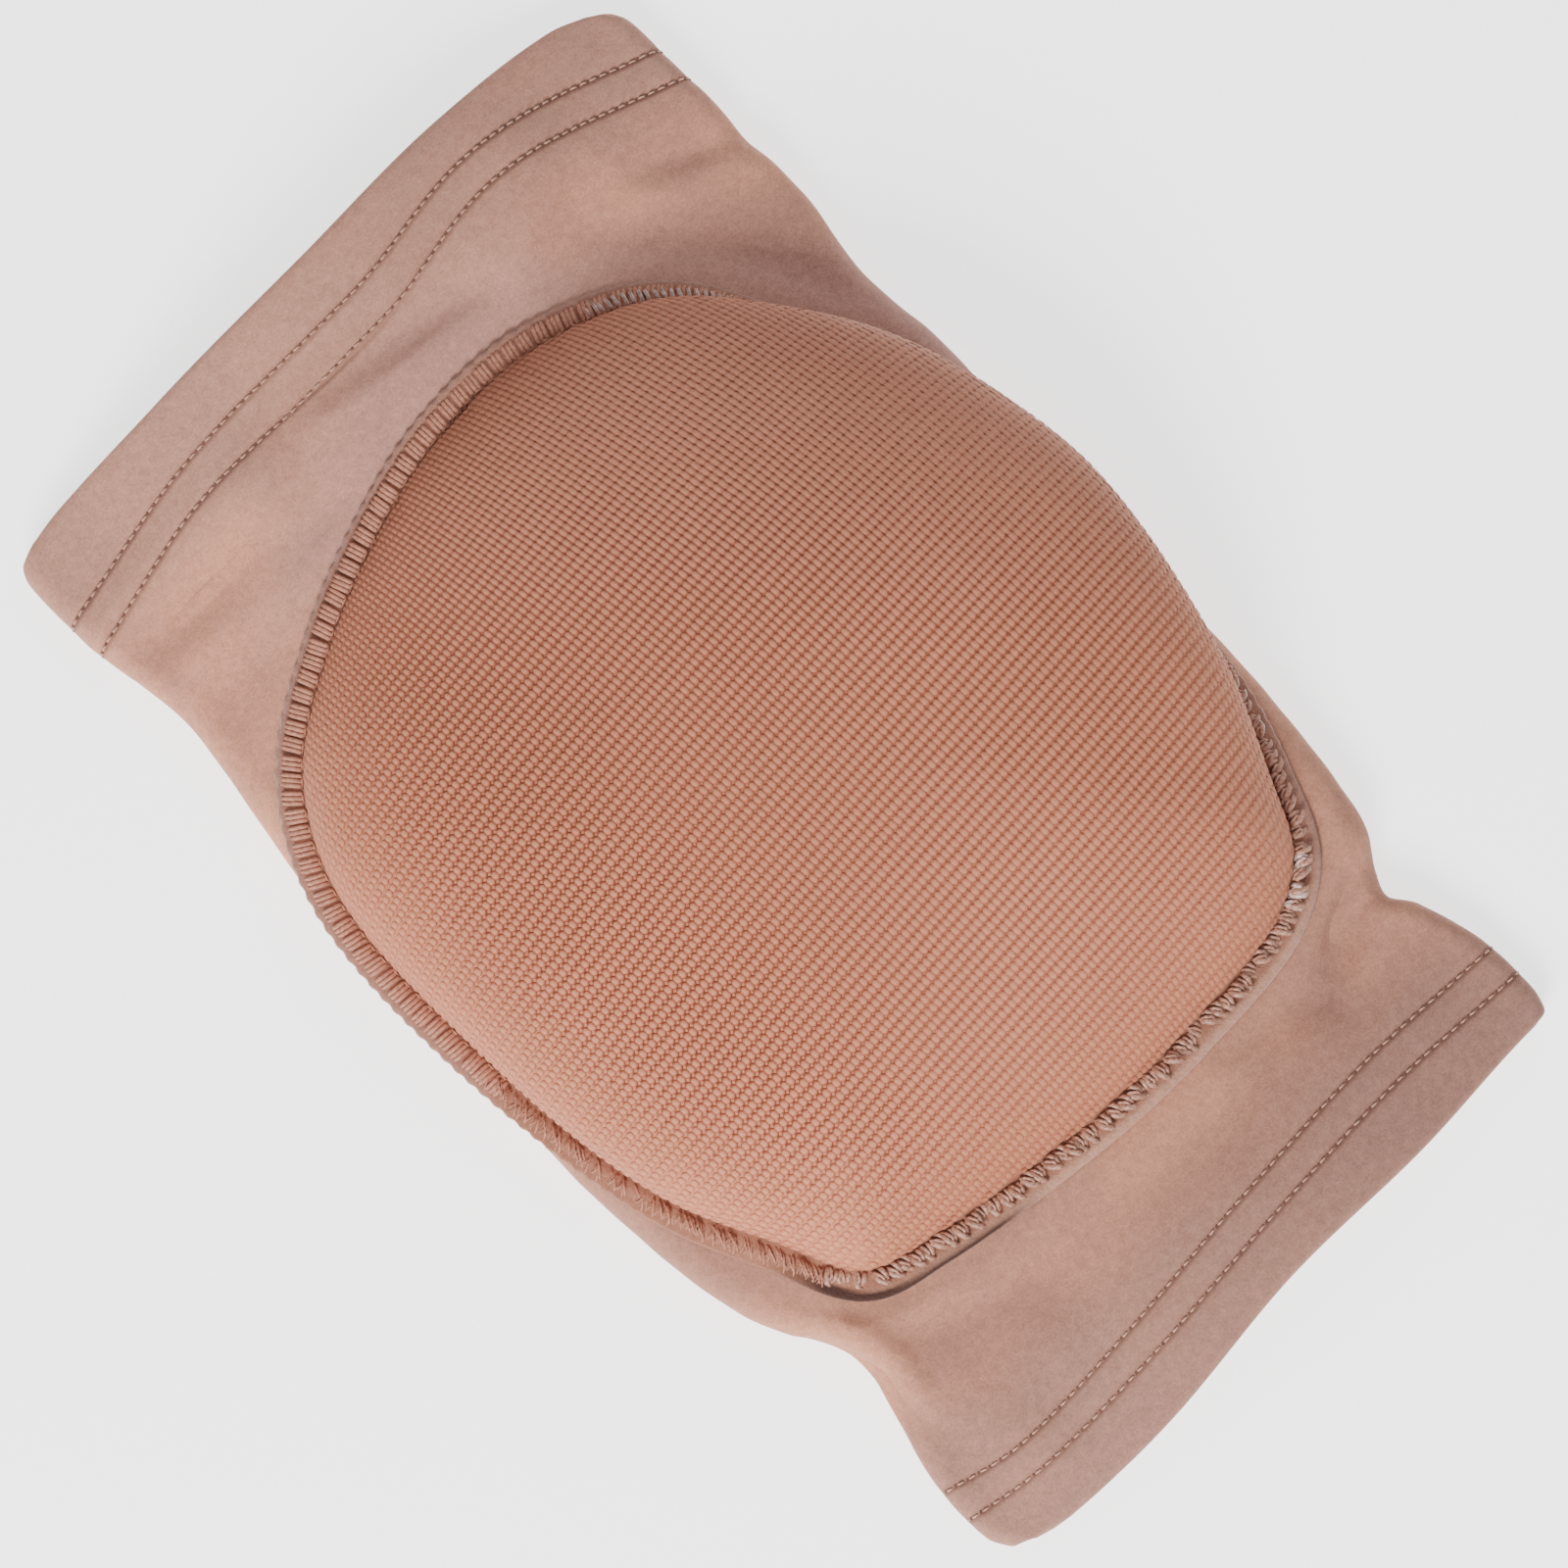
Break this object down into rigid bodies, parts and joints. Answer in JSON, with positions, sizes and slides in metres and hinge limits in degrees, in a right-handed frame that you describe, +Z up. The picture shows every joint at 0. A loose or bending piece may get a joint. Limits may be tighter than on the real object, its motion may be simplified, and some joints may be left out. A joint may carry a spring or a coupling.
{
  "type": "volleyball knee pad",
  "caption": "Pull-on stretch knee sleeve, open at both ends with turned-in hems, with a domed foam pad in ribbed knit held on its front by an overlocked edge.",
  "frame": {"origin": "on the surface the knee pad lies on, below the middle of its whole box", "axes": "+X across the sleeve, +Y along the leg towards the wider thigh end, +Z up, out of the front of the pad"},
  "size_m": [0.153, 0.2512, 0.0485],
  "materials": {
    "stretch_cloth": "matte",
    "hem_cloth": "matte",
    "ribbed_knit": "matte",
    "overlock_thread": "satin"
  },
  "bodies": {
    "root": {"sleeve": "stretch_cloth", "thigh_hem": "hem_cloth", "calf_hem": "hem_cloth", "pad_cushion": "ribbed_knit", "pad_edge": "overlock_thread"}
  },
  "joints": []
}
